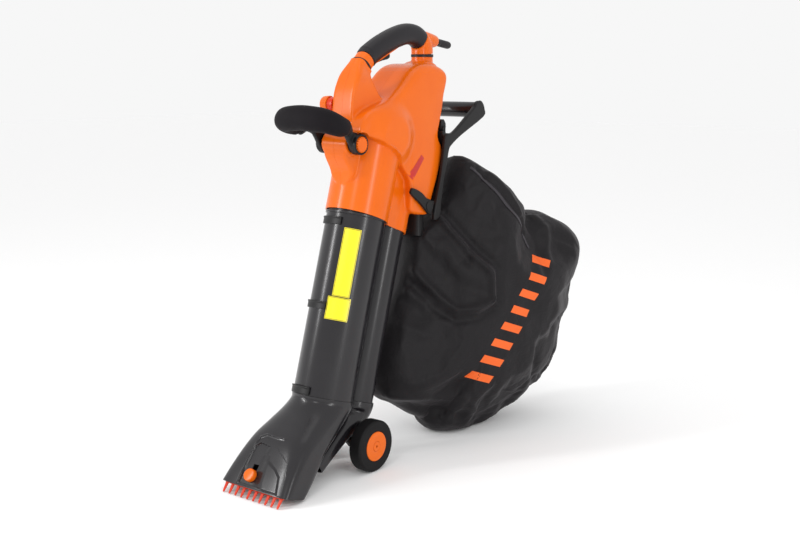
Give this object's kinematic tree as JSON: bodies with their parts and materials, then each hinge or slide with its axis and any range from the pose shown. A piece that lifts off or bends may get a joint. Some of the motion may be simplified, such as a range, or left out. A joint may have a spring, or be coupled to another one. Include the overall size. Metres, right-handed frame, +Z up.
{
  "type": "leaf blower vacuum",
  "caption": "Electric garden leaf blower vacuum: twin tubes on wheels, raking nozzle, orange motor housing, top and front handles, and a cloth collecting bag.",
  "frame": {"origin": "middle of the flat skid under the nozzle's rear lip, on the ground", "axes": "+Z up, -Y towards the nozzle's mouth, +Y towards the bag, +X to the user's left"},
  "size_m": [0.2975, 0.9939, 0.9316],
  "materials": {
    "orange_plastic": "satin moulded ABS",
    "black_plastic": "moulded polypropylene",
    "tube_plastic": "satin charcoal polypropylene",
    "red_plastic": "moulded nylon",
    "soft_rubber": "soft overmould",
    "foam_grip": "foam rubber sleeve",
    "tyre_rubber": "solid rubber tyre",
    "steel": "zinc-plated steel",
    "copper_winding": "enamelled copper wire",
    "bag_cloth": "coated woven polyester"
  },
  "bodies": {
    "machine": {"suction_tube": "tube_plastic", "blower_tube": "tube_plastic", "upper_clip": "black_plastic", "middle_clip": "black_plastic", "lower_clip": "black_plastic", "nozzle": "tube_plastic", "blower_duct": "tube_plastic", "axle": "steel", "axle_bracket": "tube_plastic", "left_cap": "black_plastic", "right_cap": "black_plastic", "body_left_shell": "orange_plastic", "body_right_shell": "orange_plastic", "handle_frame": "orange_plastic", "handle_grip": "soft_rubber", "front_ring": "soft_rubber", "rear_ring": "soft_rubber", "power_inlet": "soft_rubber", "power_switch": "black_plastic", "left_ratchet": "black_plastic", "right_ratchet": "black_plastic", "clamp_bolt": "steel", "stator": "copper_winding", "front_bearing": "steel", "rear_bearing": "steel", "motor_cup": "black_plastic", "inlet_shroud": "black_plastic", "vent_cover": "orange_plastic", "body_screw_1": "steel", "body_screw_2": "steel", "body_screw_3": "steel", "dial_base": "red_plastic", "bag_frame": "black_plastic", "cross_tube": "black_plastic", "bag_collar": "black_plastic", "bag": "bag_cloth", "bag_lug": "orange_plastic"},
    "rotor": {"impeller": "black_plastic", "motor_shaft": "steel", "armature": "steel"},
    "left_wheel": {"left_tyre": "tyre_rubber", "left_hub": "orange_plastic"},
    "right_wheel": {"right_tyre": "tyre_rubber", "right_hub": "orange_plastic"},
    "front_handle": {"front_handle_frame": "black_plastic", "left_handle_arm": "black_plastic", "right_handle_arm": "black_plastic", "front_grip": "foam_grip"},
    "left_clamp": {"left_knob": "orange_plastic"},
    "right_clamp": {"right_knob": "orange_plastic"},
    "trigger_lever": {"trigger": "black_plastic"},
    "lock": {"lock_button": "red_plastic"},
    "dial": {"speed_dial": "orange_plastic"},
    "selector": {"selector_lever": "black_plastic"},
    "latch": {"frame_latch": "black_plastic"},
    "rake": {"rake_comb": "red_plastic", "rake_button": "orange_plastic"}
  },
  "joints": [
    {"name": "rotor_spin", "type": "hinge", "parent": "machine", "child": "rotor", "pos_m": [0, 0.301, 0.697], "axis": [1, 0, 0], "continuous": true},
    {"name": "left_wheel_spin", "type": "hinge", "parent": "machine", "child": "left_wheel", "pos_m": [0.077, 0.206, 0.055], "axis": [1, 0, 0], "continuous": true},
    {"name": "right_wheel_spin", "type": "hinge", "parent": "machine", "child": "right_wheel", "pos_m": [-0.077, 0.206, 0.055], "axis": [1, 0, 0], "continuous": true},
    {"name": "front_handle_swing", "type": "hinge", "parent": "machine", "child": "front_handle", "pos_m": [0, 0.208, 0.684], "axis": [1, 0, 0], "range_deg": [-6, 60]},
    {"name": "left_clamp_turn", "type": "hinge", "parent": "machine", "child": "left_clamp", "pos_m": [0.0533, 0.208, 0.684], "axis": [1, 0, 0], "continuous": true},
    {"name": "right_clamp_turn", "type": "hinge", "parent": "machine", "child": "right_clamp", "pos_m": [-0.0533, 0.208, 0.684], "axis": [1, 0, 0], "continuous": true},
    {"name": "trigger_pull", "type": "hinge", "parent": "machine", "child": "trigger_lever", "pos_m": [0, 0.3139, 0.8589], "axis": [1, 0, 0], "range_deg": [0, 8], "stiffness_Nm_per_rad": 0.6, "springref_deg": -8.59},
    {"name": "lock_press", "type": "slide", "parent": "machine", "child": "lock", "axis": [1, 0, 0], "range_m": [0, 0.003], "stiffness_N_per_m": 400, "springref_m": -0.002},
    {"name": "dial_turn", "type": "hinge", "parent": "machine", "child": "dial", "pos_m": [-0.04, 0.228, 0.762], "axis": [1, 0, 0], "range_deg": [0, 270]},
    {"name": "selector_turn", "type": "hinge", "parent": "machine", "child": "selector", "pos_m": [0.066, 0.419, 0.54], "axis": [1, 0, 0], "range_deg": [-45, 0]},
    {"name": "latch_press", "type": "hinge", "parent": "machine", "child": "latch", "pos_m": [0.0525, 0.4805, 0.708], "axis": [1, 0, 0], "range_deg": [-15, 0], "stiffness_Nm_per_rad": 0.3, "springref_deg": 11.46},
    {"name": "rake_slide", "type": "slide", "parent": "machine", "child": "rake", "axis": [0, 0.6, 0.8], "range_m": [0, 0.018]}
  ]
}
